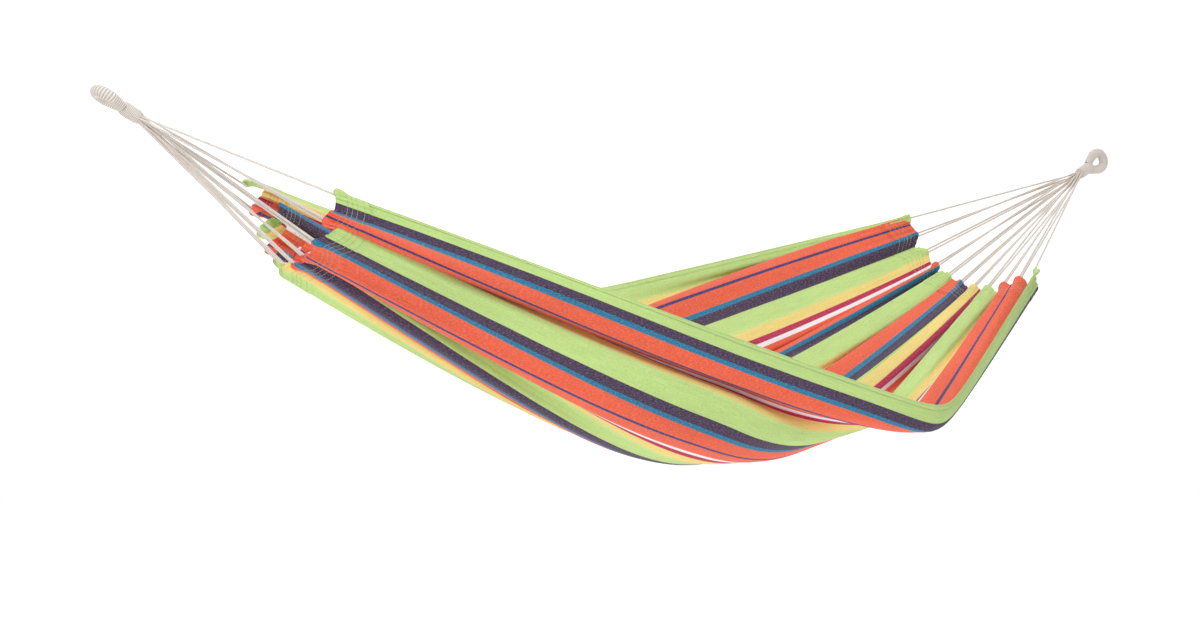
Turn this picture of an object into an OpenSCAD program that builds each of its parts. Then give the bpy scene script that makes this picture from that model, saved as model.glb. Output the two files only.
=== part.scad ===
// Cloth hammock with cord arms, hung from two wound rope eyes.
// Millimetres. The origin is the seat of the left eye, where its hook bears.
// +X runs to the seat of the right eye, +Z is up and -Y is the low, near edge.

/* [Hanging] */
// Distance between the two hooks
hook_distance = 2600; // [2500:10:2700]
// Slope of the eyes and necks below the horizontal, in degrees
neck_slope = 30; // [20:1:38]

/* [Eyes] */
// Outer diameter of the wound rope that makes an eye
eye_rope_d = 25; // [22:0.5:28]
// Thickness of the winding over the rope core
serving_t = 3; // [2:0.5:4]
// Width of the opening that the hook goes through
eye_opening_w = 18; // [14:1:22]
// Distance from the seat to the end of the neck, along the neck
neck_end = 85; // [80:1:95]
// Diameter of the cord bundle in a neck
neck_d = 25; // [25:0.5:27]
// Thickness of the whipping round a neck
whipping_t = 2; // [1.5:0.5:3]

/* [Cords] */
// Diameter of a hanging cord
cord_d = 3.4; // [3.2:0.1:3.5]
// Tips at each end of the bed, where the cords pass through the hem
tip_count = 11; // [11:1:11]
// Length of cord that lies inside the hem
cord_in_hem = 12; // [8:1:20]
// Space between the two legs of a cord where they enter the hem
leg_gap = 9; // [8:1:12]

/* [Bed] */
// Distance along X from each hook to the ends of the cloth
end_inset = 374; // [350:2:400]
// Thickness of the cloth
cloth_t = 5; // [4:0.5:8]
// Thickness of the doubled hems at the two ends
end_hem_t = 9; // [8:0.5:12]
// Thickness of the stitched hems along the two long edges
edge_hem_t = 8; // [6:0.5:10]

/* [Bed corners] */
// Distance along X from the left hook to the corner of the near edge
near_corner_x = 1640; // [1560:5:1700]
// How far the corner of the near edge stands out towards -Y
near_corner_out = 545; // [500:5:580]
// How far the corner of the near edge hangs below the hooks
near_corner_drop = 635; // [600:5:660]
// Distance along X from the left hook to the corner of the far edge
far_corner_x = 1495; // [1440:5:1560]
// How far the corner of the far edge stands out towards +Y
far_corner_out = 805; // [760:5:840]
// How far the corner of the far edge hangs below the hooks
far_corner_drop = 355; // [320:5:390]

/* [Hidden] */
// Ends of the two long edges and of the lowest warp: near, lowest, far
left_ends = [[end_inset, -265, -190], [end_inset, 35, -320], [end_inset, 305, -130]];
right_x = hook_distance - end_inset;
right_ends = [[right_x, -170, -300], [right_x, 110, -325], [right_x, 320, -140]];
near_corner = [near_corner_x, -near_corner_out, -near_corner_drop];
far_corner = [far_corner_x, far_corner_out, -far_corner_drop];
// Vertex that the lowest warp rounds off
low_corner = [1180, -220, -865];
// Softness of the bend in the long edges and in the lowest warp
edge_bend = 0.025;
low_bend = 0.135;

// Share of the cloth's length in an end hem, and of its half width in an edge hem
end_hem_share = 0.033;
edge_hem_share = 0.02;
// How far the cloth and the edge hems run into their neighbours
tuck = 0.004;

// Rope eye: centre line of the ring, and the two legs tangent to it
ring_r = (eye_opening_w + eye_rope_d) / 2;
ring_x = eye_opening_w / 2;
leg_end = [53, 6.2];
leg_dx = leg_end[0] - ring_x;
leg_dist = sqrt(leg_dx * leg_dx + leg_end[1] * leg_end[1]);
tangent_a = atan2(leg_end[1], leg_dx) + acos(ring_r / leg_dist);
leg_len = sqrt(leg_dist * leg_dist - ring_r * ring_r);
leg_end_d = 12;
// Rope core inside the winding
core_d = eye_rope_d - 2 * serving_t;
core_leg_end_d = leg_end_d - 2 * serving_t;
// How much thinner a leg is than the ring, and how far it runs into it
leg_step = 0.4;
leg_lap = 1;
// Plane across X that parts the fixed eye from the swinging neck, and its gap
split_x = 44;
split_gap = 0.5;
whipping_end = neck_end - 5;

// Cords: columns in the neck's end, filled from the near side to the far side
cord_pitch = cord_d + 0.8;
column_counts = [2, 4, 4, 4, 4, 2];
leg_total = 2 * tip_count - 2;
cord_start = neck_end - 1.5;

// A straight line from a to b by way of c, with the bend at c rounded by w
function soft(z, w) = (z + sqrt(z * z + w * w)) / 2;
function bent(a, c, b, w, t) =
    let (first = norm(c - a), second = norm(b - c), tc = first / (first + second))
    let (s0 = soft(-tc, w), s1 = soft(1 - tc, w))
    let (turn = soft(t - tc, w) - s0 + t * (1 - tc - s1 + s0))
    a + (c - a) / tc * t + ((b - c) / (1 - tc) - (c - a) / tc) * turn;

function near_edge(t) = bent(left_ends[0], near_corner, right_ends[0], edge_bend, t);
function low_warp(t) = bent(left_ends[1], low_corner, right_ends[1], low_bend, t);
function far_edge(t) = bent(left_ends[2], far_corner, right_ends[2], edge_bend, t);

// The bed: t runs along the warp from 0 to 1, s across it from -1 (near) to 1 (far)
function bed(t, s) =
    near_edge(t) * (s * (s - 1) / 2) + low_warp(t) * (1 - s * s) + far_edge(t) * (s * (s + 1) / 2);
function unit(v) = v / norm(v);
function bed_normal(t, s) =
    unit(cross(bed(t + 0.001, s) - bed(t - 0.001, s), bed(t, s + 0.001) - bed(t, s - 0.001)));

// A closed sheet of even thickness over part of the bed
module bed_sheet(t0, t1, s0, s1, thick, nt, ns) {
    row = ns + 1;
    layer = (nt + 1) * row;
    points = [
        for (side = [-1, 1])
            for (i = [0 : nt])
                for (j = [0 : ns])
                    let (t = t0 + (t1 - t0) * i / nt, s = s0 + (s1 - s0) * j / ns)
                    bed(t, s) + bed_normal(t, s) * side * thick / 2
    ];
    faces = concat(
        [for (i = [0 : nt - 1]) for (j = [0 : ns - 1]) let (a = i * row + j) each
            [[a, a + 1, a + row], [a + 1, a + row + 1, a + row],
             [a + layer, a + layer + row, a + layer + 1],
             [a + layer + 1, a + layer + row, a + layer + row + 1]]],
        [for (i = [0 : nt - 1]) for (a = [i * row]) each
            [[a, a + row, a + layer], [a + row, a + layer + row, a + layer]]],
        [for (i = [0 : nt - 1]) for (a = [i * row + ns]) each
            [[a, a + layer, a + row], [a + row, a + layer, a + layer + row]]],
        [for (j = [0 : ns - 1]) for (a = [j]) each
            [[a, a + layer, a + 1], [a + 1, a + layer, a + layer + 1]]],
        [for (j = [0 : ns - 1]) for (a = [nt * row + j]) each
            [[a, a + 1, a + layer], [a + 1, a + layer + 1, a + layer]]]
    );
    polyhedron(points = points, faces = faces, convexity = 6);
}

// The frame of a neck: +X along it from the seat, +Y sideways
module neck_frame(right) {
    if (right)
        translate([hook_distance, 0, 0]) mirror([1, 0, 0]) rotate([0, neck_slope, 0]) children();
    else
        rotate([0, neck_slope, 0]) children();
}

// Keeps the hook's side of the split plane, or the bed's side
module on_side(right, bed_side) {
    edge = split_x + (bed_side ? split_gap : 0);
    keep_x = bed_side ? edge : edge - 400;
    intersection() {
        children();
        translate([right ? hook_distance - keep_x - 400 : keep_x, -200, -200]) cube([400, 400, 400]);
    }
}

// A rope eye: a ring, and two legs that taper down to the neck.
// outer and inner each hold the diameters of the ring and of a leg's start and end.
module eye_shape(outer, inner) {
    translate([ring_x, 0, 0]) rotate([0, 0, tangent_a])
        rotate_extrude(angle = 360 - 2 * tangent_a, $fn = 72)
            translate([ring_r, 0])
                difference() {
                    circle(d = outer[0], $fn = 36);
                    if (inner[0] > 0) circle(d = inner[0], $fn = 36);
                }
    for (m = [0, 1])
        mirror([0, m, 0])
            translate([ring_x + ring_r * cos(tangent_a), ring_r * sin(tangent_a), 0])
                rotate([0, 90, tangent_a - 90])
                    translate([0, 0, -leg_lap])
                        difference() {
                            cylinder(h = leg_len, d1 = outer[1], d2 = outer[2], $fn = 36);
                            if (inner[1] > 0) cylinder(h = leg_len, d1 = inner[1], d2 = inner[2], $fn = 36);
                        }
}

// The left eye lies flat and the right eye stands on edge
module eye_in_place(right, outer, inner) {
    on_side(right, false)
        neck_frame(right)
            rotate([right ? 90 : 0, 0, 0])
                eye_shape(outer, inner);
}

module eye_core(right) {
    color([0.84, 0.78, 0.67])
        eye_in_place(right, [core_d, core_d - leg_step, core_leg_end_d], [0, 0, 0]);
}

module eye_serving(right) {
    color([0.93, 0.89, 0.82])
        eye_in_place(right, [eye_rope_d, eye_rope_d - leg_step, leg_end_d],
            [core_d, core_d + leg_step, core_leg_end_d + 2 * leg_step]);
}

module neck(right) {
    color([0.84, 0.78, 0.67])
        on_side(right, true)
            neck_frame(right)
                rotate([0, 90, 0]) cylinder(h = neck_end, d = neck_d, $fn = 48);
}

module whipping(right) {
    color([0.93, 0.89, 0.82])
        on_side(right, true)
            neck_frame(right)
                rotate([0, 90, 0])
                    difference() {
                        cylinder(h = whipping_end, d = neck_d + 2 * whipping_t, $fn = 48);
                        cylinder(h = whipping_end + 1, d = neck_d, $fn = 48);
                    }
}

// Where leg i leaves the neck: columns from near to far, the outer legs on top
function column_of(i, c = 0) = i < column_counts[c] ? c : column_of(i - column_counts[c], c + 1);
function place_in_column(i, c = 0) = i < column_counts[c] ? i : place_in_column(i - column_counts[c], c + 1);
function leg_side(i) =
    (column_of(i) - (len(column_counts) - 1) / 2) * cord_pitch;
function leg_up(i) =
    let (n = column_counts[column_of(i)], k = place_in_column(i), m = (n - 1) / 2)
    (2 * column_of(i) < len(column_counts) ? m - k : k - m) * cord_pitch;
function leg_start(right, i) =
    let (x = cord_start * cos(neck_slope) + leg_up(i) * sin(neck_slope))
    [right ? hook_distance - x : x, leg_side(i), leg_up(i) * cos(neck_slope) - cord_start * sin(neck_slope)];

// Where a leg of the cord at tip k ends, inside the hem
function end_width(right) = let (e = right ? right_ends : left_ends) norm(e[1] - e[0]) + norm(e[2] - e[1]);
function tip_s(right, k, turn) =
    let (edge = 2 * cord_d / end_width(right), s = -1 + 2 * k / (tip_count - 1))
    max(-1 + 2 * edge, min(1 - 2 * edge, s)) + turn * leg_gap / end_width(right);
function leg_stop(right, k, turn) =
    let (t = cord_in_hem / 2100)
    bed(right ? 1 - t : t, tip_s(right, k, turn));

// A round rod from p to q
module rod(p, q, d) {
    v = q - p;
    translate(p)
        rotate([0, acos(v[2] / norm(v)), atan2(v[1], v[0])])
            cylinder(h = norm(v), d = d, $fn = 24);
}

// The cord at tip k: one leg at a corner, elsewhere two legs and the bight in the hem
module cord(right, k) {
    color([0.93, 0.89, 0.82])
        if (k == 0)
            rod(leg_start(right, 0), leg_stop(right, 0, 0), cord_d);
        else if (k == tip_count - 1)
            rod(leg_start(right, leg_total - 1), leg_stop(right, k, 0), cord_d);
        else {
            rod(leg_start(right, 2 * k - 1), leg_stop(right, k, -1), cord_d);
            rod(leg_start(right, 2 * k), leg_stop(right, k, 1), cord_d);
            rod(leg_stop(right, k, -1), leg_stop(right, k, 1), cord_d);
            for (turn = [-1, 1])
                translate(leg_stop(right, k, turn)) sphere(d = cord_d + 0.3, $fn = 24);
        }
}

module cloth() {
    color([0.78, 0.88, 0.5])
        bed_sheet(end_hem_share - tuck, 1 - end_hem_share + tuck,
            -1 + edge_hem_share - tuck, 1 - edge_hem_share + tuck, cloth_t, 40, 24);
}

module edge_hem(side) {
    color([0.68, 0.84, 0.36])
        bed_sheet(end_hem_share - tuck, 1 - end_hem_share + tuck,
            side < 0 ? -1 : 1 - edge_hem_share, side < 0 ? -1 + edge_hem_share : 1, edge_hem_t, 40, 1);
}

module end_hem(right) {
    color([0.7, 0.78, 0.45])
        bed_sheet(right ? 1 - end_hem_share : 0, right ? 1 : end_hem_share, -1, 1, end_hem_t, 2, 36);
}

cloth();
edge_hem(-1);  // near_edge_hem
edge_hem(1);  // far_edge_hem
end_hem(false);  // left_end_hem
end_hem(true);  // right_end_hem
eye_core(false);  // left_eye_core
eye_serving(false);  // left_eye_serving
neck(false);  // left_neck
whipping(false);  // left_whipping
eye_core(true);  // right_eye_core
eye_serving(true);  // right_eye_serving
neck(true);  // right_neck
whipping(true);  // right_whipping
cord(false, 0);  // left_cord_1
cord(false, 1);  // left_cord_2
cord(false, 2);  // left_cord_3
cord(false, 3);  // left_cord_4
cord(false, 4);  // left_cord_5
cord(false, 5);  // left_cord_6
cord(false, 6);  // left_cord_7
cord(false, 7);  // left_cord_8
cord(false, 8);  // left_cord_9
cord(false, 9);  // left_cord_10
cord(false, 10);  // left_cord_11
cord(true, 0);  // right_cord_1
cord(true, 1);  // right_cord_2
cord(true, 2);  // right_cord_3
cord(true, 3);  // right_cord_4
cord(true, 4);  // right_cord_5
cord(true, 5);  // right_cord_6
cord(true, 6);  // right_cord_7
cord(true, 7);  // right_cord_8
cord(true, 8);  // right_cord_9
cord(true, 9);  // right_cord_10
cord(true, 10);  // right_cord_11
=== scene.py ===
"""A striped cotton hammock on two wound rope eyes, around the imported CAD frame. Metres."""

import math

import bpy
import numpy as np
from mathutils import Matrix, Vector


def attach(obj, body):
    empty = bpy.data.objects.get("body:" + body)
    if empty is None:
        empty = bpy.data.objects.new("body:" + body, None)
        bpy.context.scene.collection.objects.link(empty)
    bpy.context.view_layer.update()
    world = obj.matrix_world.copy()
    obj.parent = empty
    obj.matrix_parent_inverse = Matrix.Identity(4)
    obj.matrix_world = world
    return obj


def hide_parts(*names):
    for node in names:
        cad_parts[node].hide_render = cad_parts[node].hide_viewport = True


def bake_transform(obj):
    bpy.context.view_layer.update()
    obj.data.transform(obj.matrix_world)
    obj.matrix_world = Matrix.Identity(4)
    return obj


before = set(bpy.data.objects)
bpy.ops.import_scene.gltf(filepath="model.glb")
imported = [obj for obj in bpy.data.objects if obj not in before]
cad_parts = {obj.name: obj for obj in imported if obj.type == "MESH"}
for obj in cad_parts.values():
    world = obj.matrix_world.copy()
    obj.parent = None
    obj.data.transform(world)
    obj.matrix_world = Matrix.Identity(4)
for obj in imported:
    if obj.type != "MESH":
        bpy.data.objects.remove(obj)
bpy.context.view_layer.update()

EYES, BED = "hanging_eyes", "bed"

# ---------------------------------------------------------------- the bed's shape, as in the CAD
HOOK_DISTANCE = 2.600
NECK_SLOPE = math.radians(30)
END_INSET = 0.374
RIGHT_X = HOOK_DISTANCE - END_INSET
LEFT_ENDS = np.array([[END_INSET, -0.265, -0.190],
                      [END_INSET, 0.035, -0.320],
                      [END_INSET, 0.305, -0.130]])
RIGHT_ENDS = np.array([[RIGHT_X, -0.170, -0.300],
                       [RIGHT_X, 0.110, -0.325],
                       [RIGHT_X, 0.320, -0.140]])
NEAR_CORNER = np.array([1.640, -0.545, -0.635])
FAR_CORNER = np.array([1.495, 0.805, -0.355])
LOW_CORNER = np.array([1.180, -0.220, -0.865])
EDGE_BEND, LOW_BEND = 0.025, 0.135
CLOTH_WIDTH, WARP_LENGTH = 1.500, 2.100
END_HEM_SHARE = 0.033
EDGE_HEM_WIDTH = 0.020
TIP_COUNT = 11


def soft(z, width):
    """z above nought and nought below it, rounded over width."""
    return (z + np.sqrt(z * z + width * width)) / 2


def bent(a, c, b, width, t):
    """A straight line from a to b by way of c, with the bend at c rounded."""
    first, second = np.linalg.norm(c - a), np.linalg.norm(b - c)
    tc = first / (first + second)
    start, end = soft(-tc, width), soft(1 - tc, width)
    t = np.asarray(t, float)[..., None]
    turn = soft(t - tc, width) - start + t * (1 - tc - end + start)
    return a + (c - a) / tc * t + ((b - c) / (1 - tc) - (c - a) / tc) * turn


def bed(t, s):
    """The mean surface: t from 0 to 1 along the warp, s from -1 (near) to 1 (far)."""
    s = np.asarray(s, float)[..., None]
    near = bent(LEFT_ENDS[0], NEAR_CORNER, RIGHT_ENDS[0], EDGE_BEND, t)
    low = bent(LEFT_ENDS[1], LOW_CORNER, RIGHT_ENDS[1], LOW_BEND, t)
    far = bent(LEFT_ENDS[2], FAR_CORNER, RIGHT_ENDS[2], EDGE_BEND, t)
    return near * (s * (s - 1) / 2) + low * (1 - s * s) + far * (s * (s + 1) / 2)


def unit(v):
    return v / np.maximum(np.linalg.norm(v, axis=-1, keepdims=True), 1e-12)


def smoothstep(x, a, b):
    u = np.clip((x - a) / (b - a), 0, 1)
    return u * u * (3 - 2 * u)


# ---------------------------------------------------------------- camera, floor and light
def look_along(obj, forward):
    obj.rotation_euler = Vector(forward).to_track_quat("-Z", "Y").to_euler()


def make_camera():
    camera = bpy.data.objects.new("camera", bpy.data.cameras.new("camera"))
    bpy.context.collection.objects.link(camera)
    camera.location = (-0.808, -3.477, -0.4725)
    heading, tilt = math.radians(28.73), math.radians(0.765)
    flat = math.cos(tilt)
    look_along(camera, (math.sin(heading) * flat, math.cos(heading) * flat, math.sin(tilt)))
    camera.data.sensor_width = 36
    camera.data.lens = 53.4
    bpy.context.scene.camera = camera


make_camera()


# ---------------------------------------------------------------- node helpers
def srgb(r, g, b):
    """A colour given as it looks on a screen, from 0 to 255, as linear light."""
    def linear(v):
        v /= 255
        return v / 12.92 if v <= 0.04045 else ((v + 0.055) / 1.055) ** 2.4
    return (linear(r), linear(g), linear(b), 1)


class Nodes:
    """A material and short ways to add nodes to it."""

    def __init__(self, name):
        self.material = bpy.data.materials.new(name)
        self.material.use_nodes = True
        self.tree = self.material.node_tree
        self.shader = self.tree.nodes["Principled BSDF"]

    def add(self, kind, inputs=None, **settings):
        node = self.tree.nodes.new(kind)
        for key, value in settings.items():
            setattr(node, key, value)
        for key, value in (inputs or {}).items():
            self.put(node.inputs[key], value)
        return node

    def put(self, socket, value):
        if isinstance(value, bpy.types.NodeSocket):
            self.tree.links.new(value, socket)
        else:
            socket.default_value = value

    def math(self, operation, a, b=0.0, c=0.0, clamp=False):
        node = self.add("ShaderNodeMath", {0: a, 1: b, 2: c}, operation=operation, use_clamp=clamp)
        return node.outputs[0]

    def mix(self, share, a, b, blend_type="MIX"):
        node = self.add("ShaderNodeMix", data_type="RGBA", blend_type=blend_type)
        self.put(node.inputs["Factor"], share)
        self.put(node.inputs[6], a)
        self.put(node.inputs[7], b)
        return node.outputs[2]

    def noise(self, vector, scale, detail=2.0, roughness=0.5):
        node = self.add("ShaderNodeTexNoise", {"Vector": vector, "Scale": scale, "Detail": detail,
                                               "Roughness": roughness})
        return node.outputs["Fac"]

    def scaled(self, vector, x, y, z=1.0):
        node = self.add("ShaderNodeMapping", {"Vector": vector, "Scale": (x, y, z)})
        return node.outputs["Vector"]

    def ramp(self, value, stops, interpolation="LINEAR"):
        node = self.add("ShaderNodeValToRGB", {"Fac": value})
        node.color_ramp.interpolation = interpolation
        elements = node.color_ramp.elements
        while len(elements) > 1:
            elements.remove(elements[-1])
        elements[0].position, elements[0].color = stops[0]
        for position, color in stops[1:]:
            elements.new(position).color = color
        return node.outputs["Color"]

    def bump(self, height, distance, strength=1.0, normal=None):
        node = self.add("ShaderNodeBump", {"Height": height, "Distance": distance, "Strength": strength})
        if normal is not None:
            self.put(node.inputs["Normal"], normal)
        return node.outputs["Normal"]


# ---------------------------------------------------------------- stripes
GREEN, PURPLE, TEAL, ORANGE = (190, 220, 132), (70, 53, 80), (18, 122, 160), (238, 98, 62)
NAVY, WHITE, MAGENTA = (48, 56, 112), (240, 236, 240), (188, 34, 76)
YELLOW, MINT = (238, 214, 124), (196, 226, 140)
# From the near edge inwards: the colour of each stripe and its width in millimetres
STRIPES = [(GREEN, 58), (PURPLE, 30), (TEAL, 14), (ORANGE, 46), (NAVY, 9), (ORANGE, 46), (WHITE, 14),
           (MAGENTA, 18), (YELLOW, 38), (MINT, 15)]
REPEATS = 5
THREAD_PITCH = 0.0011
STRIPE_REPEAT = (CLOTH_WIDTH - 0.058) / REPEATS      # the last stripe is one more green


def stripe_stops():
    """Ramp stops for one repeat: hard edges, but yellow melts through mint into green."""
    total, edge, stops = sum(width for _, width in STRIPES), 0.0016, []
    at = 0.0
    for color, width in STRIPES[:-2]:
        end = at + width / total
        stops += [(at + (edge if at else 0), srgb(*color)), (end - edge, srgb(*color))]
        at = end
    yellow_end = at + STRIPES[-2][1] / total
    stops += [(at + edge, srgb(*YELLOW)), (yellow_end - 0.012, srgb(*YELLOW))]
    stops += [(yellow_end + 0.018, srgb(*MINT)), (1.0, srgb(*GREEN))]
    return stops


def cloth_material(name, stitch_rows=(), edge_rows=()):
    """Woven cotton. UV is in metres: U along the warp from one end, V across from the near edge."""
    n = Nodes(name)
    uv = n.add("ShaderNodeUVMap", uv_map="UVMap").outputs["UV"]
    axes = n.add("ShaderNodeSeparateXYZ", {0: uv})
    along, across = axes.outputs["X"], axes.outputs["Y"]
    # warp threads wander a little, so that no stripe's edge is ruled
    wander = n.noise(n.scaled(uv, 9, 60), 1.0, 3.0)
    shifted = n.math("MULTIPLY_ADD", n.math("SUBTRACT", wander, 0.5), 0.0022, across)
    phase = n.math("FRACT", n.math("DIVIDE", shifted, STRIPE_REPEAT))
    colour = n.ramp(phase, stripe_stops())
    # heather: long streaks of each warp thread, and short flecks of the weft over it
    streak = n.noise(n.scaled(uv, 22, 620), 1.0, 3.0, 0.6)
    fleck = n.noise(n.scaled(uv, 170, 520), 1.0, 3.0, 0.7)
    cloud = n.noise(n.scaled(uv, 3, 9), 1.0, 3.0)
    tone = n.math("ADD", n.math("MULTIPLY", streak, 0.56), n.math("MULTIPLY", fleck, 0.66))
    tone = n.math("ADD", tone, n.math("MULTIPLY", cloud, 0.34))
    light = n.math("ADD", tone, 0.20)
    colour = n.mix(1.0, colour, n.add("ShaderNodeCombineColor", {0: light, 1: light, 2: light}).outputs[0],
                   "MULTIPLY")
    # pale weft shows between dark warps
    pale = n.math("MULTIPLY", n.math("SUBTRACT", fleck, 0.50, clamp=True), 1.5, clamp=True)
    colour = n.mix(pale, colour, srgb(206, 192, 206))
    # plain weave
    thread = 2 * math.pi / THREAD_PITCH
    warp = n.math("SINE", n.math("MULTIPLY", across, thread))
    weft = n.math("SINE", n.math("MULTIPLY", along, thread))
    weave = n.math("MULTIPLY", warp, weft)
    slub = n.noise(n.scaled(uv, 90, 500), 1.0, 2.0)
    height = n.math("ADD", n.math("MULTIPLY", weave, 0.35), slub)
    normal = n.bump(height, 0.0005, 0.55)
    crease = n.noise(n.scaled(uv, 7, 42), 1.0, 4.0, 0.55)
    normal = n.bump(crease, 0.004, 0.42, normal)
    rows = None
    for value, places in ((along, stitch_rows), (across, edge_rows)):
        for place in places:
            gap = n.math("ABSOLUTE", n.math("SUBTRACT", value, place))
            row = n.math("LESS_THAN", gap, 0.0007)
            rows = row if rows is None else n.math("MAXIMUM", rows, row)
    if rows is not None:
        dash_at = across if stitch_rows else along
        dash = n.math("SINE", n.math("MULTIPLY", dash_at, 2 * math.pi / 0.0042))
        thread_on = n.math("MULTIPLY", rows, n.math("GREATER_THAN", dash, -0.35))
        # painted shade: every stitch row is darkened towards olive along its groove; the pale dashes over it
        # are the thread's own colour
        colour = n.mix(n.math("MULTIPLY", rows, 0.35), colour, srgb(60, 62, 44))
        colour = n.mix(n.math("MULTIPLY", thread_on, 0.55), colour, srgb(205, 215, 170))
        normal = n.bump(n.math("SUBTRACT", n.math("MULTIPLY", thread_on, 0.6), rows), 0.0008, 0.8, normal)
    n.put(n.shader.inputs["Base Color"], colour)
    n.put(n.shader.inputs["Roughness"], n.math("MULTIPLY_ADD", streak, 0.2, 0.74))
    n.put(n.shader.inputs["Normal"], normal)
    n.shader.inputs["Specular IOR Level"].default_value = 0.2
    n.shader.inputs["Sheen Weight"].default_value = 0.12
    n.shader.inputs["Sheen Roughness"].default_value = 0.5
    return n.material


def cord_material(name, tint=(236, 229, 222), shade=(150, 138, 126)):
    """Undyed twisted cotton: pale fibres, painted darker between the strands as shade, with a little fuzz.
    """
    n = Nodes(name)
    place = n.add("ShaderNodeNewGeometry").outputs["Position"]
    fibre = n.noise(place, 900.0, 4.0, 0.7)
    patch = n.noise(place, 35.0, 3.0)
    depth = n.add("ShaderNodeAttribute", attribute_name="strand", attribute_type="GEOMETRY").outputs["Fac"]
    # painted shade: the strand attribute is high on the crests and low in the grooves between strands or
    # turns, and the colour goes from the shade colour there to the tint on the crests
    share = n.math("ADD", n.math("MULTIPLY", depth, 0.72), n.math("MULTIPLY", fibre, 0.36), clamp=True)
    colour = n.mix(share, srgb(*shade), srgb(*tint))
    colour = n.mix(n.math("MULTIPLY", patch, 0.22), colour, srgb(222, 212, 200))
    n.put(n.shader.inputs["Base Color"], colour)
    n.put(n.shader.inputs["Roughness"], n.math("MULTIPLY_ADD", fibre, 0.25, 0.68))
    n.put(n.shader.inputs["Normal"], n.bump(fibre, 0.0003, 0.5))
    n.shader.inputs["Specular IOR Level"].default_value = 0.25
    n.shader.inputs["Sheen Weight"].default_value = 0.2
    return n.material


# ---------------------------------------------------------------- meshes
def make_mesh(name, points, faces, material, uv=None, strand=None, smooth=True):
    mesh = bpy.data.meshes.new(name)
    mesh.from_pydata([tuple(p) for p in points.tolist()], [], faces)
    if smooth:
        mesh.polygons.foreach_set("use_smooth", [True] * len(mesh.polygons))
    if uv is not None:
        layer = mesh.uv_layers.new(name="UVMap")
        corners = np.empty(len(mesh.loops), dtype=np.int64)
        mesh.loops.foreach_get("vertex_index", corners)
        layer.data.foreach_set("uv", uv[corners].astype(np.float32).ravel())
    if strand is not None:
        attribute = mesh.attributes.new("strand", "FLOAT", "POINT")
        attribute.data.foreach_set("value", strand.astype(np.float32))
    mesh.materials.append(material)
    mesh.update()
    obj = bpy.data.objects.new(name, mesh)
    bpy.context.collection.objects.link(obj)
    return obj


def grid_faces(rows, columns, offset=0, wrap=False, flip=False):
    """Quads of a grid of points, row by row."""
    i = np.arange(rows - 1)[:, None]
    j = np.arange(columns if wrap else columns - 1)[None, :]
    k = (j + 1) % columns
    quads = np.stack([i * columns + j, i * columns + k, (i + 1) * columns + k, (i + 1) * columns + j], -1)
    quads = quads.reshape(-1, 4) + offset
    return (quads[:, ::-1] if flip else quads).tolist()


# ---------------------------------------------------------------- cords
CORD_D = 0.0034
CORD_IN_HEM = 0.012
LEG_GAP = 0.009
NECK_END = 0.085
CORD_START = NECK_END - 0.0015
CORD_PITCH = CORD_D + 0.0008
COLUMN_COUNTS = [2, 4, 4, 4, 4, 2]
LEG_COUNT = 2 * TIP_COUNT - 2


def leg_place(i):
    """Sideways and upward place of a leg in the neck's end: columns from near to far."""
    column = 0
    while i >= COLUMN_COUNTS[column]:
        i -= COLUMN_COUNTS[column]
        column += 1
    middle = (COLUMN_COUNTS[column] - 1) / 2
    up = middle - i if 2 * column < len(COLUMN_COUNTS) else i - middle
    return (column - (len(COLUMN_COUNTS) - 1) / 2) * CORD_PITCH, up * CORD_PITCH


def leg_start(right, i):
    side, up = leg_place(i)
    x = CORD_START * math.cos(NECK_SLOPE) + up * math.sin(NECK_SLOPE)
    z = up * math.cos(NECK_SLOPE) - CORD_START * math.sin(NECK_SLOPE)
    return np.array([HOOK_DISTANCE - x if right else x, side, z])


def end_width(right):
    ends = RIGHT_ENDS if right else LEFT_ENDS
    return np.linalg.norm(ends[1] - ends[0]) + np.linalg.norm(ends[2] - ends[1])


def leg_stop(right, k, turn):
    edge = 2 * CORD_D / end_width(right)
    s = min(max(-1 + 2 * k / (TIP_COUNT - 1), -1 + 2 * edge), 1 - 2 * edge)
    s += turn * LEG_GAP / end_width(right)
    t = CORD_IN_HEM / WARP_LENGTH
    return bed(np.array(1 - t if right else t), np.array(s))


def cord_route(right, k):
    """One leg down to the tip, round inside the hem, and the other leg back."""
    if k in (0, TIP_COUNT - 1):
        leg = 0 if k == 0 else LEG_COUNT - 1
        return np.array([leg_start(right, leg), leg_stop(right, k, 0)])
    start_a, start_b = leg_start(right, 2 * k - 1), leg_start(right, 2 * k)
    stop_a, stop_b = leg_stop(right, k, -1), leg_stop(right, k, 1)
    across = stop_b - stop_a
    radius = np.linalg.norm(across) / 2
    middle, side = (stop_a + stop_b) / 2, unit(across)
    onward = unit((stop_a + stop_b) - (start_a + start_b))
    onward = unit(onward - side * (onward @ side))
    angles = np.radians(np.arange(0, 181, 15))
    turn = [middle - side * radius * math.cos(a) + onward * radius * math.sin(a) for a in angles]
    return np.array([start_a, *turn, start_b])


def resample(points, step):
    lengths = np.concatenate([[0], np.cumsum(np.linalg.norm(np.diff(points, axis=0), axis=1))])
    count = max(3, int(math.ceil(lengths[-1] / step)) + 1)
    at = np.linspace(0, lengths[-1], count)
    return np.stack([np.interp(at, lengths, points[:, i]) for i in range(3)], -1), at


def frames_along(points):
    """Two steady directions square to the line at each point."""
    tangent = unit(np.gradient(points, axis=0))
    first = np.zeros_like(points)
    guess = np.array([0, 1.0, 0]) if abs(tangent[0][1]) < 0.8 else np.array([1.0, 0, 0])
    for i, d in enumerate(tangent):
        guess = guess - d * (guess @ d)
        guess = guess / np.linalg.norm(guess)
        first[i] = guess
    return first, np.cross(tangent, first)


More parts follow.
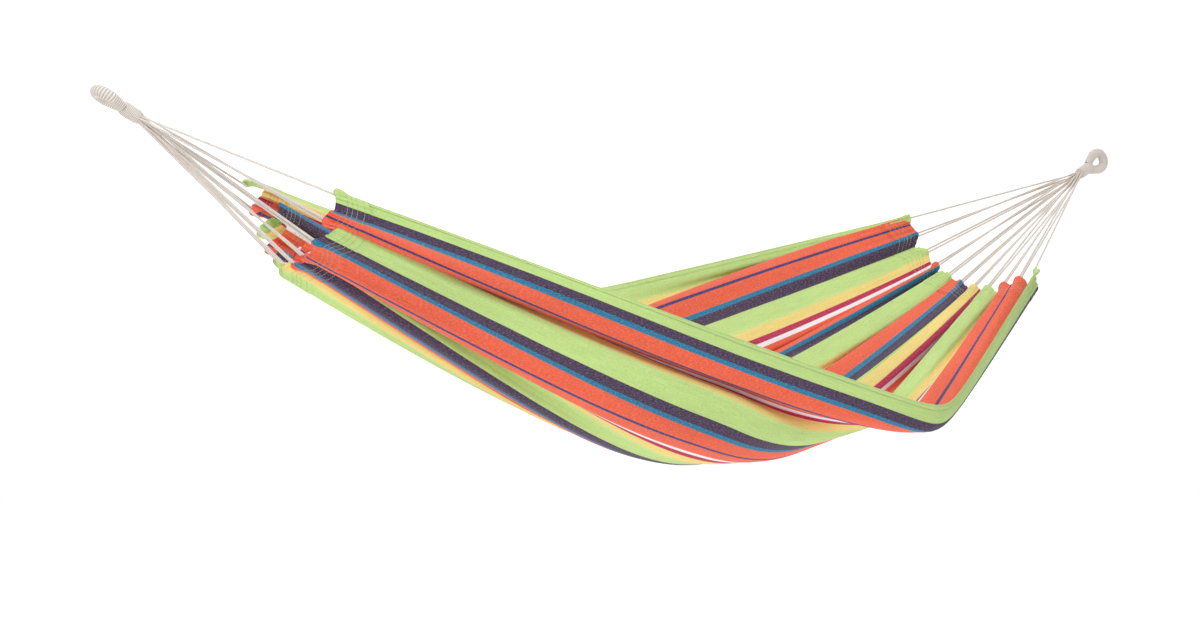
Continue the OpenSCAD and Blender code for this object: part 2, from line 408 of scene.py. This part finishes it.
def tube(name, points, at, radius, material, sides=10, strands=3, lay=0.011, depth=0.12, caps=True):
    """A rope: a tube whose section has strands, turning once in every lay."""
    first, second = frames_along(points)
    angle = np.linspace(0, 2 * math.pi, sides, endpoint=False)[None, :]
    turn = strands * (angle - 2 * math.pi * at[:, None] / lay) if lay else strands * angle + 0 * at[:, None]
    swell = np.abs(np.cos(turn / 2)) ** 0.7
    r = (np.asarray(radius).reshape(-1, 1) if np.ndim(radius) else radius) * (1 - depth + depth * swell)
    ring = first[:, None] * np.cos(angle)[..., None] + second[:, None] * np.sin(angle)[..., None]
    rings = points[:, None] + ring * r[..., None]
    rows = len(points)
    vertices = rings.reshape(-1, 3)
    faces = grid_faces(rows, sides, wrap=True)
    strand = swell.reshape(-1)
    if caps:
        vertices = np.concatenate([vertices, points[:1], points[-1:]])
        strand = np.concatenate([strand, [0.5, 0.5]])
        a, b = rows * sides, rows * sides + 1
        faces += [[a, (j + 1) % sides, j] for j in range(sides)]
        base = (rows - 1) * sides
        faces += [[b, base + j, base + (j + 1) % sides] for j in range(sides)]
    return make_mesh(name, vertices, faces, material, strand=strand)


def cord_radius(at, k):
    """Cords are pressed thin in the neck and fluff out beyond it."""
    doubled = 0 < k < TIP_COUNT - 1
    from_neck = np.minimum(at, at[-1] - at) if doubled else at
    return CORD_D / 2 + 0.0003 + 0.0006 * smoothstep(from_neck, 0.02, 0.09)


def make_cords():
    material = cord_material("twisted_cotton")
    for side, right in (("left", False), ("right", True)):
        for k in range(TIP_COUNT):
            node = f"{side}_cord_{k + 1}"
            points, at = resample(cord_route(right, k), 0.0022)
            piece = tube(f"{side}_twisted_cord_{k + 1}", points, at, cord_radius(at, k), material, sides=9,
                         lay=0.0125, depth=0.16)
            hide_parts(node)
            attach(piece, BED)


make_cords()

# ---------------------------------------------------------------- rope eyes
EYE_ROPE_D = 0.025
SERVING_T = 0.003
EYE_OPENING_W = 0.018
NECK_D = 0.025
WHIPPING_T = 0.002
RING_R = (EYE_OPENING_W + EYE_ROPE_D) / 2
RING_X = EYE_OPENING_W / 2
LEG_END = np.array([0.053, 0.0062])
LEG_END_D = 0.017
SPLIT_X, SPLIT_GAP = 0.044, 0.0005
WHIPPING_START, WHIPPING_END = SPLIT_X - 0.010, NECK_END - 0.005


def neck_point(right, along, side=0.0, up=0.0):
    """A point given along the neck from the seat, sideways and up from it, in the row frame."""
    x = along * math.cos(NECK_SLOPE) + up * math.sin(NECK_SLOPE)
    z = up * math.cos(NECK_SLOPE) - along * math.sin(NECK_SLOPE)
    return np.array([HOOK_DISTANCE - x if right else x, side, z])


def eye_line():
    """The eye's centre line in its own plane: up one leg, round the ring, down the other leg."""
    offset = LEG_END - np.array([RING_X, 0])
    distance = np.linalg.norm(offset)
    tangent = math.atan2(offset[1], offset[0]) + math.acos(RING_R / distance)
    start = np.array([RING_X + RING_R * math.cos(tangent), RING_R * math.sin(tangent)])
    stop_share = (SPLIT_X - 0.0003 - start[0]) / (LEG_END[0] - start[0])
    legs = [start + (LEG_END - start) * share for share in np.linspace(stop_share, 0, 24)]
    arc = [np.array([RING_X + RING_R * math.cos(a), RING_R * math.sin(a)])
           for a in np.linspace(tangent, 2 * math.pi - tangent, 100)[1:-1]]
    back = [p * np.array([1, -1]) for p in legs[::-1]]
    diameters = np.concatenate([
        EYE_ROPE_D + (LEG_END_D - EYE_ROPE_D) * np.linspace(stop_share, 0, 24),
        np.full(98, EYE_ROPE_D),
        EYE_ROPE_D + (LEG_END_D - EYE_ROPE_D) * np.linspace(0, stop_share, 24)])
    return np.array(legs + arc + back), diameters


def place_eye(right, plane_points):
    """The left eye lies flat, the right eye stands on edge."""
    out = []
    for along, across in plane_points:
        side, up = (0.0, across) if right else (across, 0.0)
        out.append(neck_point(right, along, side, up))
    return np.array(out)


def wound_tube(name, points, at, radius, material, pitch, sides=28, ridge=0.0011, steps=7):
    """Cord wound tightly round a line: helical ridges, one for each turn."""
    length = at[-1]
    count = int(length / pitch * steps) + 1
    fine = np.linspace(0, length, count)
    line = np.stack([np.interp(fine, at, points[:, i]) for i in range(3)], -1)
    r = np.interp(fine, at, radius)
    first, second = frames_along(line)
    angle = np.linspace(0, 2 * math.pi, sides, endpoint=False)[None, :]
    turn = math.pi * (fine[:, None] / pitch + angle / (2 * math.pi))
    swell = np.sqrt(np.clip(1 - np.cos(turn) ** 2, 0, 1))
    uneven = 0.10 * np.sin(fine[:, None] * 410 + 3 * angle)
    uneven = uneven + 0.08 * np.sin(fine[:, None] * 173 - 2 * angle)
    rr = r[:, None] - ridge + ridge * (swell * (1 - 0.25 * np.abs(uneven)) - 0.15 * uneven)
    ring = first[:, None] * np.cos(angle)[..., None] + second[:, None] * np.sin(angle)[..., None]
    vertices = (line[:, None] + ring * rr[..., None]).reshape(-1, 3)
    rows = len(line)
    faces = grid_faces(rows, sides, wrap=True)
    vertices = np.concatenate([vertices, line[:1], line[-1:]])
    faces += [[rows * sides, (j + 1) % sides, j] for j in range(sides)]
    base = (rows - 1) * sides
    faces += [[rows * sides + 1, base + j, base + (j + 1) % sides] for j in range(sides)]
    strand = np.concatenate([swell.reshape(-1), [0.5, 0.5]])
    return make_mesh(name, vertices, faces, material, strand=strand)


def join_neck(piece):
    """Bakes the piece's placement into its mesh."""
    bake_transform(piece)


def fluted_bundle(name, right, start, end, radius, material):
    """A round bundle of cords: one flute for each leg round its outside."""
    at = np.linspace(0, end - start, 30)
    points = np.array([neck_point(right, start + a) for a in at])
    return tube(name, points, at, radius, material, sides=96, strands=16, lay=0.9, depth=0.14)


def make_eyes():
    # The second colour of each is painted shade, between the turns of the winding and between the strands
    # and flutes of the rope
    winding = cord_material("wound_cotton", (238, 231, 224), (128, 116, 104))
    core = cord_material("cotton_bundle", (232, 224, 214), (120, 106, 92))
    plane_line, diameters = eye_line()
    for side, right in (("left", False), ("right", True)):
        line = place_eye(right, plane_line)
        at = np.concatenate([[0], np.cumsum(np.linalg.norm(np.diff(line, axis=0), axis=1))])
        serving = wound_tube(f"{side}_eye_winding", line, at, diameters / 2, winding, pitch=0.0044,
                             ridge=0.0016)
        inner = tube(f"{side}_eye_rope", line, at, diameters / 2 - SERVING_T, core, sides=24, strands=3,
                     lay=0.045, depth=0.12)
        neck = fluted_bundle(f"{side}_neck_bundle", right, SPLIT_X + SPLIT_GAP, NECK_END, NECK_D / 2, core)
        along = np.linspace(0, WHIPPING_END - WHIPPING_START, 60)
        neck_line = np.array([neck_point(right, WHIPPING_START + a) for a in along])
        bulge = NECK_D / 2 + WHIPPING_T + 0.0004 * np.sin(along / along[-1] * math.pi)
        bulge = bulge * (0.62 + 0.38 * smoothstep(along, 0, 0.016))
        whipping = wound_tube(f"{side}_neck_whipping", neck_line, along, bulge, winding, pitch=0.0030,
                              sides=48, ridge=0.0012)
        for piece, node, slot_name in ((serving, "eye_serving", "winding"), (inner, "eye_core", "rope_core"),
                                       (neck, "neck", "rope_core"), (whipping, "whipping", "winding")):
            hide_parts(f"{side}_{node}")
            join_neck(piece)


make_eyes()

# ---------------------------------------------------------------- the folded cloth
# The fold values from here to SECTION_SOFT were fitted to the folds of one hung hammock by another
# program, then rounded, and some were changed by hand. They aren't worked out from the dimensions.
# Where each cord's tip lies across the cloth, from the near edge
LEFT_TIPS = np.array([0, 175, 395, 465, 690, 850, 925, 1005, 1160, 1330, 1500]) / 1000
RIGHT_TIPS = np.array([0, 120, 185, 320, 545, 680, 880, 970, 1160, 1245, 1500]) / 1000
# Whether the cloth between two tips bulges outwards (1) or folds inwards (-1)
LEFT_SIDES = [1, -1, 1, -1, -1, 1, -1, -1, -1, 1]
RIGHT_SIDES = [1] * 10
# Flat shares of each of those widths, before and after its fold
LEFT_FLATS = [(0, 0), (0.05, 0.45), (0.15, 0), (0, 0.15), (0, 0.1), (0, 0),
              (0, 0), (0, 0), (0, 0), (0, 0)]
RIGHT_FLATS = [(0, 0), (0.1, 0.1), (0, 0.1), (0.05, 0.05), (0.1, 0.3), (0.15, 0.05),
               (0.35, 0), (0.05, 0.5), (0.3, 0.1), (0.45, 0.1)]
# The rims' own lean in radians, at shares of the first or the last width
RIM_SHARES = [0, 0.25, 0.45, 0.6, 0.8, 1]
LEFT_RIM = [1.6, 1.0, 1.2, -0.8, 0.5, 1.0]
LEFT_FAR_RIM = [-0.4, -0.8, -0.7, -0.1, 0.5, 0.7]
RIGHT_RIM = [1.2, 1.2, 1.6, 1.6, -1.6, -1.4]
# Two sections in between: place along the warp, the near rim's lean, how much more the near side
# is gathered than the far side, and tucks as place across the cloth, angle and half width
RIM_WIDTH = (0.040, 0.115)
LEFT_MIDDLE = (0.42, 0.3, 0.8, [(0.205, 1.85, 0.030), (0.535, 0.28, 0.070), (0.550, -0.35, 0.035),
                                (0.860, -0.21, 0.035), (1.330, 0.05, 0.060)])
RIGHT_MIDDLE = (0.60, 0.6, 0.9, [(0.245, 0.32, 0.065), (0.385, 0.25, 0.055), (0.645, 0.33, 0.080),
                                 (0.655, -0.69, 0.035), (1.040, -0.23, 0.035), (1.315, 0.32, 0.035),
                                 (1.405, -0.20, 0.035)])
SECTION_SOFT = 0.033
STEEPEST = 2.05      # the most that a fold between two tips leans, in radians
# How deep the edge dips between two tips
LEFT_DIPS = np.array([12, 30, 10, 30, 3, 20, 8, 26, 26, 20]) / 1000
RIGHT_DIPS = np.array([14, 3, 16, 20, 16, 20, 10, 20, 22, 14]) / 1000
FINE = 1201
FINE_W = np.linspace(0, CLOTH_WIDTH, FINE)


def running_mean(values, width):
    """values smoothed over a window of that width across the cloth."""
    half = max(1, int(round(width / (FINE_W[1] - FINE_W[0]) / 2)))
    kernel = np.hanning(2 * half + 3)[1:-1]
    kernel /= kernel.sum()
    before = 2 * values[0] - values[half:0:-1]
    after = 2 * values[-1] - values[-2:-half - 2:-1]
    return np.convolve(np.concatenate([before, values, after]), kernel, mode="valid")


def total(values):
    return np.concatenate([[0], np.cumsum((values[1:] + values[:-1]) / 2 * FINE_W[1])])


def amplitude(shape, ratio, lean=0.0):
    """How steep a fold of that shape must be to shorten the cloth to that ratio of its width."""
    low, high = 0.0, 3.0
    for _ in range(30):
        middle = (low + high) / 2
        if np.cos(middle * shape + lean).mean() > ratio:
            low = middle
        else:
            high = middle
    return middle


def bed_arc(t):
    s = np.linspace(-1, 1, 401)
    line = bed(np.full(401, t), s)
    return s, np.concatenate([[0], np.cumsum(np.linalg.norm(np.diff(line, axis=0), axis=1))])


def between_tips(tips):
    """0, 1, 2 ... at the tips and evenly between them, across the cloth."""
    return np.interp(FINE_W, tips, np.arange(TIP_COUNT))


def end_section(tips, sides, flats, t, rim, far_rim=None):
    """Where each thread across the cloth lies on the bed (s) and how far out of it (n), at an end.

    Between two tips the cloth folds by about its own slack, up to STEEPEST, and every tip stays on
    the bed. A rim leans as given, and is shortened or stretched to reach its tip."""
    s, arc = bed_arc(t)
    tip_arc = np.interp(np.linspace(-1, 1, TIP_COUNT), s, arc)
    u = between_tips(tips)
    interval = np.clip(u.astype(int), 0, TIP_COUNT - 2)
    angle = np.zeros(FINE)
    even = np.linspace(0, 1, 101)
    for k, (side, (before, after)) in enumerate(zip(sides, flats)):
        def shape(q):
            return np.sin(2 * math.pi * np.clip((q - before) / max(1 - before - after, 0.2), 0, 1))
        inside = interval == k
        q = u[inside] - k
        if k == 0:
            angle[inside] = np.interp(q, RIM_SHARES, rim)
        elif k == TIP_COUNT - 2 and far_rim:
            angle[inside] = np.interp(q, RIM_SHARES, far_rim)
        else:
            ratio = (tip_arc[k + 1] - tip_arc[k]) / (tips[k + 1] - tips[k])
            angle[inside] = side * min(amplitude(shape(even), ratio), STEEPEST) * shape(q)
    angle = running_mean(angle, 0.035)
    along, out = total(np.cos(angle)), total(np.sin(angle))
    along += np.interp(FINE_W, tips, tip_arc - np.interp(tips, FINE_W, along))
    out -= np.interp(FINE_W, tips, np.interp(tips, FINE_W, out))
    return np.interp(along, arc, s), out


def middle_section(place, rim_lean, gather, tucks):
    """The same between the ends, where the cloth has a few long tucks. Its near side is drawn closer
    together and its far side wider than the flat cloth, by gather."""
    angle = np.zeros(FINE)
    for centre, size, half_width in tucks:
        u = (FINE_W - centre) / half_width
        angle += size * u * np.exp(0.5 - u * u / 2)
    lean = rim_lean * (1 - smoothstep(FINE_W, *RIM_WIDTH))
    s, arc = bed_arc(place)
    angle = amplitude(angle, arc[-1] / CLOTH_WIDTH, lean) * angle + lean
    along = total(np.cos(angle) * (1 + gather * (FINE_W / CLOTH_WIDTH - 0.5)))
    out = total(np.sin(angle))
    out -= out.mean()
    tilt = FINE_W / CLOTH_WIDTH - 0.5
    return np.interp(along * arc[-1] / along[-1], arc, s), out - (out @ tilt) / (tilt @ tilt) * tilt


def scallops(tips, dips):
    """How far the cloth's edge falls short of the tips, as a share of the warp's length."""
    u = between_tips(tips)
    dip = (0.5 - 0.5 * np.cos(2 * math.pi * u)) ** 0.62
    return running_mean(dip * dips[np.clip(u.astype(int), 0, TIP_COUNT - 2)], 0.008) / WARP_LENGTH


LEFT_S, LEFT_N = end_section(LEFT_TIPS, LEFT_SIDES, LEFT_FLATS, 0.0, LEFT_RIM, LEFT_FAR_RIM)
RIGHT_S, RIGHT_N = end_section(RIGHT_TIPS, RIGHT_SIDES, RIGHT_FLATS, 1.0, RIGHT_RIM)
SECTIONS = [(0.0, LEFT_S, LEFT_N), (LEFT_MIDDLE[0], *middle_section(*LEFT_MIDDLE)),
            (RIGHT_MIDDLE[0], *middle_section(*RIGHT_MIDDLE)), (1.0, RIGHT_S, RIGHT_N)]
LEFT_SCALLOP = scallops(LEFT_TIPS, LEFT_DIPS)
RIGHT_SCALLOP = scallops(RIGHT_TIPS, RIGHT_DIPS)


def section_shares(t):
    """How much each section counts at t: straight threads between sections, soft where they meet."""
    def rise(t, a, b):
        return (soft(t - a, SECTION_SOFT) - soft(t - b, SECTION_SOFT)) / (b - a)

    places = [section[0] for section in SECTIONS]
    ramps = [(rise(t, a, b) - rise(0.0, a, b)) / (rise(1.0, a, b) - rise(0.0, a, b))
             for a, b in zip(places[:-1], places[1:])]
    return [1 - ramps[0]] + [a - b for a, b in zip(ramps[:-1], ramps[1:])] + [ramps[-1]]


def folded(t, w):
    """The folded cloth's own surface: t along the warp from 0 to 1, w metres from the near edge."""
    def pick(values):
        return np.interp(w, FINE_W, values)

    shares = section_shares(t)
    s = np.clip(sum(share * pick(section[1]) for share, section in zip(shares, SECTIONS)), -1, 1)
    n = sum(share * pick(section[2]) for share, section in zip(shares, SECTIONS))
    short_left, short_right = pick(LEFT_SCALLOP), pick(RIGHT_SCALLOP)
    along = short_left + t * (1 - short_left - short_right)
    step = 1e-3
    inner = np.clip(along, step, 1 - step)
    down_warp = bed(inner + step, s) - bed(inner - step, s)
    down_weft = bed(along, s + step) - bed(along, s - step)
    outward = unit(np.cross(down_weft, down_warp))
    return bed(along, s) + n[..., None] * outward


def folded_normal(t, w):
    step = 1e-3
    down_warp = folded(np.minimum(t + step, 1.0), w) - folded(np.maximum(t - step, 0.0), w)
    down_weft = folded(t, np.minimum(w + step, CLOTH_WIDTH)) - folded(t, np.maximum(w - step, 0.0))
    return unit(np.cross(down_weft, down_warp))


def puckers(t, w):
    """Small gathers that run in from the stitched ends and die away."""
    ripple = np.sin(w * 395 + 1.3 * np.sin(w * 61)) + 0.6 * np.sin(w * 655 + 2.0)
    ripple = ripple + 0.5 * np.sin(w * 173 + 0.7)
    long_ripple = np.sin(w * 210 + 2.1 * np.sin(w * 23)) + 0.7 * np.sin(w * 127 + 1.1)
    ends = np.exp(-t / 0.035) + np.exp(-(1 - t) / 0.035)
    wide = np.exp(-t / 0.16) + np.exp(-(1 - t) / 0.16)
    tips = np.where(t[..., None] < 0.5, LEFT_TIPS, RIGHT_TIPS)
    near_tip = np.min(np.abs(w[..., None] - tips), axis=-1)
    calm = 1 - 0.8 * np.exp(-(near_tip / 0.018) ** 2)
    return (0.0011 * ripple * ends + 0.0012 * long_ripple * wide) * calm


def sheet_piece(name, t, w, thickness, material, lift=None):
    """A thin closed sheet over part of the folded cloth, with U and V in metres on it."""
    T, W = np.meshgrid(t, w, indexing="ij")
    normal = folded_normal(T, W)
    middle = folded(T, W) + puckers(T, W)[..., None] * normal
    half = np.broadcast_to(np.asarray(thickness(T, W) if callable(thickness) else thickness) / 2, T.shape)
    if lift is not None:
        middle = middle + lift(T, W)[..., None] * normal
    rows, columns = T.shape
    outer = (middle + normal * half[..., None]).reshape(-1, 3)
    inner = (middle - normal * half[..., None]).reshape(-1, 3)
    n = rows * columns
    faces = grid_faces(rows, columns) + grid_faces(rows, columns, n, flip=True)
    rim = ([i * columns for i in range(rows)], [i * columns + columns - 1 for i in range(rows)][::-1],
           [j for j in range(columns)][::-1], [(rows - 1) * columns + j for j in range(columns)])
    for line in rim:
        faces += [[b, a, a + n, b + n] for a, b in zip(line[:-1], line[1:])]
    uv = np.stack([T * WARP_LENGTH, W], -1).reshape(-1, 2)
    return make_mesh(name, np.concatenate([outer, inner]), faces, material, uv=np.concatenate([uv, uv]))


# Rows of stitches, from the ends and from the long edges
STITCH_ROWS = [0.024, 0.034, 0.044, 0.058]
EDGE_STITCH_ROWS = [0.006, 0.0175]


def end_hem_thickness(tips, far):
    def thickness(T, W):
        from_end = (1 - T if far else T) * WARP_LENGTH
        near_tip = np.min(np.abs(W[..., None] - tips), axis=-1)
        sleeve = 0.0130 * np.exp(-(near_tip / 0.014) ** 4) * np.exp(-(from_end / 0.025) ** 4)
        grooves = sum(0.0011 * np.exp(-((from_end - row) / 0.0016) ** 2) for row in STITCH_ROWS)
        rounded = np.sqrt(np.clip(from_end / 0.004, 0.02, 1))
        inner_edge = np.clip((END_HEM_SHARE * WARP_LENGTH - from_end) / 0.002, 0.35, 1)
        return (0.0032 + sleeve - grooves) * rounded * inner_edge
    return thickness


def make_cloth():
    hem_t = END_HEM_SHARE
    length = WARP_LENGTH
    # the cloth runs a little way into the end hems, and stops just inside the edge hems' outer edges
    into_hem, inside_edge, cloth_thickness = 0.002, 0.0015, 0.0012
    cloth = sheet_piece("striped_cloth", np.linspace(hem_t - into_hem, 1 - hem_t + into_hem, 118),
                        np.linspace(inside_edge, CLOTH_WIDTH - inside_edge, 410), cloth_thickness,
                        cloth_material("striped_weave"))
    outer_row, inner_row = EDGE_STITCH_ROWS
    near_rows, far_rows = [outer_row, inner_row], [CLOTH_WIDTH - outer_row, CLOTH_WIDTH - inner_row]
    hems = []

    def edge_thickness(T, W):
        from_edge = np.minimum(W, CLOTH_WIDTH - W)
        groove = 0.0008 * (np.exp(-((from_edge - outer_row) / 0.0012) ** 2)
                           + np.exp(-((from_edge - inner_row) / 0.0012) ** 2))
        return (0.0027 - groove) * np.sqrt(np.clip(from_edge / 0.002, 0.05, 1))

    for name, w0, w1, rows, node in (
            ("near_selvedge_hem", 0.0, EDGE_HEM_WIDTH, near_rows, "near_edge_hem"),
            ("far_selvedge_hem", CLOTH_WIDTH - EDGE_HEM_WIDTH, CLOTH_WIDTH, far_rows, "far_edge_hem")):
        hem = sheet_piece(name, np.linspace(hem_t - 0.001, 1 - hem_t + 0.001, 260), np.linspace(w0, w1, 21),
                          edge_thickness, cloth_material(name + "_weave", edge_rows=rows))
        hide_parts(node)
        hems.append(hem)
    for name, far, tips, node in (("left_stitched_hem", False, LEFT_TIPS, "left_end_hem"),
                                  ("right_stitched_hem", True, RIGHT_TIPS, "right_end_hem")):
        t = np.linspace(0, hem_t, 34)
        rows = [length - row for row in STITCH_ROWS] if far else STITCH_ROWS
        hem = sheet_piece(name, 1 - t[::-1] if far else t, np.linspace(0, CLOTH_WIDTH, 621),
                          end_hem_thickness(tips, far), cloth_material(name + "_weave", stitch_rows=rows))
        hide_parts(node)
        hems.append(hem)
    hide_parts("cloth")
    for piece in [cloth, *hems]:
        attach(piece, BED)


make_cloth()


# ---------------------------------------------------------------- floor, backdrop and lights
def make_stage():
    n = Nodes("pale_floor")
    place = n.add("ShaderNodeTexCoord").outputs["Object"]
    mottle = n.noise(place, 3.0, 3.0)
    n.put(n.shader.inputs["Base Color"], n.mix(mottle, (0.93, 0.93, 0.93, 1), (0.96, 0.96, 0.96, 1)))
    n.shader.inputs["Roughness"].default_value = 0.9
    n.shader.inputs["Emission Color"].default_value = (1, 1, 1, 1)
    height = n.add("ShaderNodeSeparateXYZ", {0: place}).outputs["Z"]
    glow = n.add("ShaderNodeMapRange", {"Value": height, "From Min": -1.55, "From Max": -0.6,
                                        "To Min": 0.30, "To Max": 0.58}).outputs["Result"]
    n.put(n.shader.inputs["Emission Strength"], glow)
    floor_z, back_y, rise = -1.55, 7.0, 3.0
    profile = [(-30.0, floor_z)]
    profile += [(back_y + rise * math.sin(a), floor_z + rise * (1 - math.cos(a)))
                for a in np.linspace(0, math.pi / 2, 16)]
    profile += [(back_y + rise, 14.0)]
    points = np.array([[x, y, z] for y, z in profile for x in (-30.0, 30.0)])
    turn = Matrix.Rotation(-math.radians(28.73), 3, "Z")
    points = np.array([list(turn @ Vector(p)) for p in points])
    floor = make_mesh("floor", points, grid_faces(len(profile), 2), n.material)
    world = bpy.data.worlds.new("studio")
    bpy.context.scene.world = world
    world.use_nodes = True
    world.node_tree.nodes["Background"].inputs["Color"].default_value = (1, 1, 1, 1)
    world.node_tree.nodes["Background"].inputs["Strength"].default_value = 0.40
    lamps = (("key", (-0.6, -2.4, 3.0), 1.6, 112),
             ("fill", (-3.6, -2.6, 0.4), 2.0, 24),
             ("top", (2.4, 0.6, 3.0), 2.0, 38))
    for name, location, size, power in lamps:
        lamp = bpy.data.objects.new(name, bpy.data.lights.new(name, "AREA"))
        bpy.context.collection.objects.link(lamp)
        lamp.data.size = size
        lamp.data.energy = power
        lamp.location = location
        look_along(lamp, Vector((1.3, 0.1, -0.45)) - Vector(location))
    view = bpy.context.scene.view_settings
    view.view_transform = "Standard"
    view.look = "None"


make_stage()
